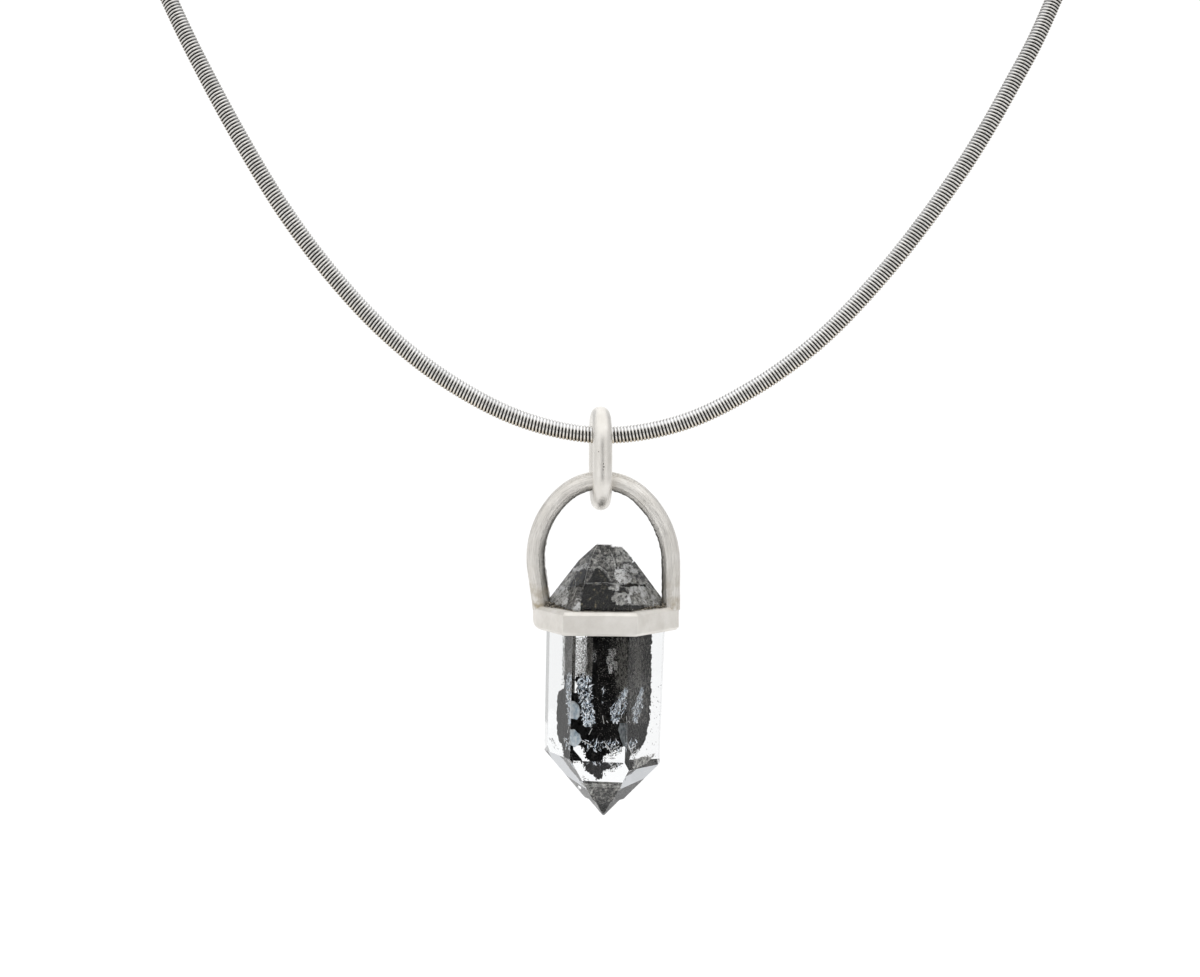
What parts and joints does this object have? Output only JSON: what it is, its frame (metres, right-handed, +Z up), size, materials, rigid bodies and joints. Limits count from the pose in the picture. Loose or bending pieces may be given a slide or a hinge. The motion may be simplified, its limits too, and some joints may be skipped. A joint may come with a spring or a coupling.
{
  "type": "crystal pendant necklace",
  "caption": "Double-ended hexagonal crystal held by a silver collar and arch, hung by an oval link from a loop of fine wound chain.",
  "frame": {"origin": "middle of the clasp, where the necklace sits on the nape", "axes": "+Z up; the pendant hangs in front of the neck, towards -Y; +X is the right of a viewer who faces the pendant"},
  "size_m": [0.1176, 0.1084, 0.1691],
  "materials": {
    "wound_chain": "tightly wound silver wire, bright on its ridges and dark between them",
    "silver": "satin silver with fine wear",
    "quartz": "clear natural crystal with black specks inside"
  },
  "bodies": {
    "necklace": {"chain": "wound_chain", "clasp": "silver"},
    "link": {"link": "silver"},
    "pendant": {"setting": "silver", "crystal": "quartz"}
  },
  "joints": [
    {"name": "link_swing", "type": "hinge", "parent": "necklace", "child": "link", "pos_m": [0, -0.1, -0.129], "axis": [1, 0, 0], "range_deg": [-80, 80]},
    {"name": "pendant_sway", "type": "hinge", "parent": "link", "child": "pendant", "pos_m": [-0.00015, -0.1, -0.13556], "axis": [-0.0785, 0.9969, 0], "range_deg": [-25, 25]}
  ]
}
